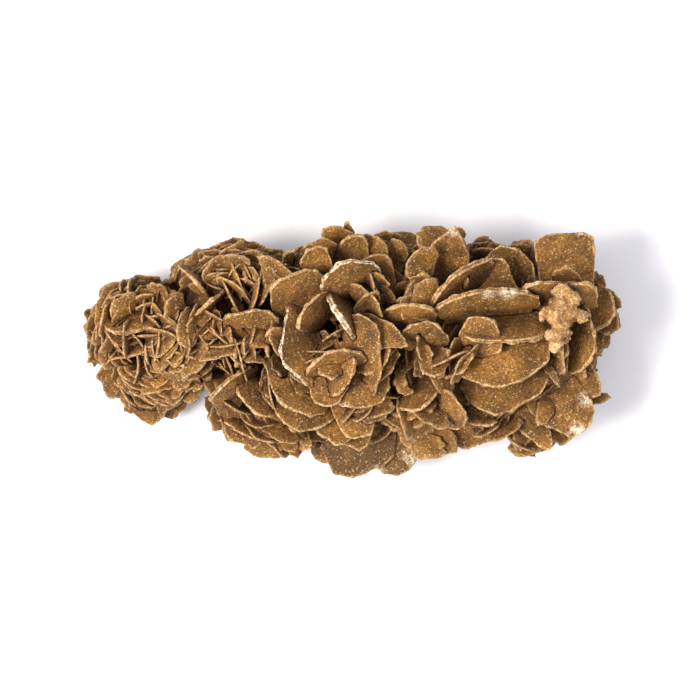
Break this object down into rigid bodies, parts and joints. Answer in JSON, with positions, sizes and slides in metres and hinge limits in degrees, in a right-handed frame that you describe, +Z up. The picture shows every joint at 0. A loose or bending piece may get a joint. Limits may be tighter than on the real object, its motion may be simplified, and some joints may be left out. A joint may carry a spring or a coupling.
{
  "type": "gypsum sand rose",
  "caption": "Long cluster of intergrown desert roses: sandy, lens-shaped gypsum plates that radiate from five joined roots, with a flat-worn underside to lie on.",
  "frame": {"origin": "middle of the bounding box's footprint, on the surface that the cluster lies on", "axes": "+X along the cluster, from the fine-bladed low end to the coarse high end; +Y across it; +Z up from the worn underside"},
  "size_m": [0.1814, 0.0856, 0.0604],
  "materials": {
    "sand_gypsum": "rough, matt",
    "pale_gypsum": "rough, matt, sugary",
    "dark_gypsum": "rough, matt",
    "sand_crust": "granular"
  },
  "bodies": {
    "root": {"white_ridge": "pale_gypsum", "white_rimmed_blade": "pale_gypsum", "cross_blade": "sand_gypsum", "left_ridge": "sand_gypsum", "upper_panel": "sand_gypsum", "side_panel": "sand_gypsum", "pointed_leaf": "pale_gypsum", "brown_shield": "sand_gypsum", "tongue": "sand_gypsum", "left_shelf": "sand_gypsum", "lower_disc": "sand_gypsum", "upper_crescent": "sand_gypsum", "lower_crescent": "sand_gypsum", "lower_leaf": "sand_gypsum", "fringe_leaf": "sand_gypsum", "hanging_leaf": "sand_gypsum", "keel_plate": "dark_gypsum", "dark_plate": "dark_gypsum", "gold_disc": "sand_gypsum", "crest_disc": "sand_gypsum", "crest_leaf": "sand_gypsum", "crest_plate": "sand_gypsum", "back_plate": "sand_gypsum", "spike": "sand_gypsum", "diagonal_plate": "sand_gypsum", "tall_blade": "sand_gypsum", "arched_plate": "sand_gypsum", "roof_plate": "sand_gypsum", "long_upper_plate": "sand_gypsum", "long_back_plate": "sand_gypsum", "rounded_plate": "sand_gypsum", "long_lower_plate": "sand_gypsum", "broad_plate": "sand_gypsum", "under_plate": "sand_gypsum", "front_blade": "sand_gypsum", "crossing_blade": "sand_gypsum", "round_disc": "sand_gypsum", "back_disc": "sand_gypsum", "square_slab": "sand_gypsum", "end_plate": "sand_gypsum", "pointing_plate": "sand_gypsum", "corner_plate": "sand_gypsum", "side_plate": "sand_gypsum", "lower_right_leaf": "sand_gypsum", "bright_ridge": "sand_gypsum", "slanting_ridge": "sand_gypsum", "long_shelf": "sand_gypsum", "beak_blade": "sand_gypsum", "steep_blade": "sand_gypsum", "left_bright_ridge": "sand_gypsum", "left_crescent": "sand_gypsum", "low_rim": "sand_gypsum", "lobe_plate": "sand_gypsum", "sand_crust": "sand_crust", "centre_rose": "sand_gypsum", "right_rose": "sand_gypsum", "upper_left_rose": "sand_gypsum", "left_rose": "sand_gypsum", "lower_left_rose": "sand_gypsum"}
  },
  "joints": []
}
